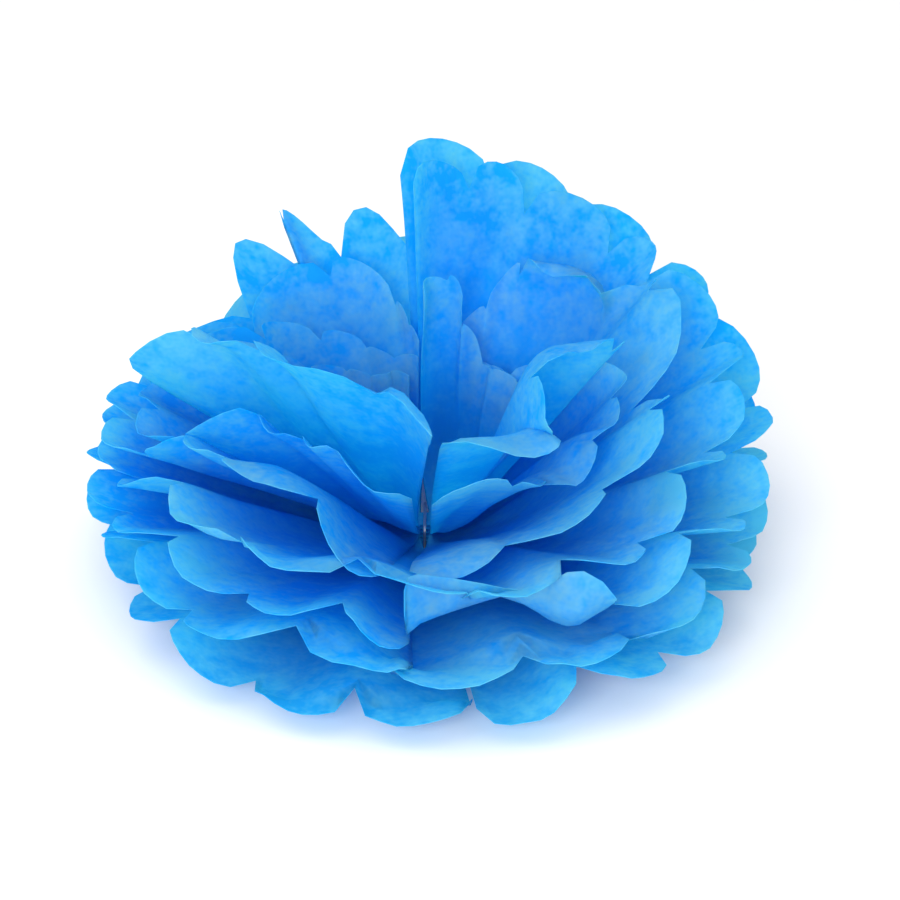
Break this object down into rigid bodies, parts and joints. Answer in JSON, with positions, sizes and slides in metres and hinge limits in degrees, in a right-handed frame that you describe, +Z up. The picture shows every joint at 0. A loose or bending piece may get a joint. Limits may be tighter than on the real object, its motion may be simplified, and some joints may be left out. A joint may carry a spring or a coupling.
{
  "type": "tissue paper pom pom",
  "caption": "Tissue paper pom pom opened to one side like a flower: pleated blue sheets with scalloped ends, gathered at the middle by a wire.",
  "frame": {"origin": "middle of the bounding box, on the ground that the pom pom rests on", "axes": "+Z up, the way the flower opens; the slit between the two halves runs along Y, with the taller petals at +Y and the lower front petals at -Y"},
  "size_m": [0.2218, 0.2548, 0.121],
  "materials": {
    "blue_tissue": "matte, thin and slightly see-through, with cloudy fibres",
    "binding_wire_metal": "thin soft wire, slightly shiny"
  },
  "bodies": {
    "root": {"binding_wire": "binding_wire_metal", "tissue_sheet_1": "blue_tissue", "tissue_sheet_2": "blue_tissue", "tissue_sheet_3": "blue_tissue", "tissue_sheet_4": "blue_tissue", "tissue_sheet_5": "blue_tissue", "tissue_sheet_6": "blue_tissue", "tissue_sheet_7": "blue_tissue"}
  },
  "joints": []
}
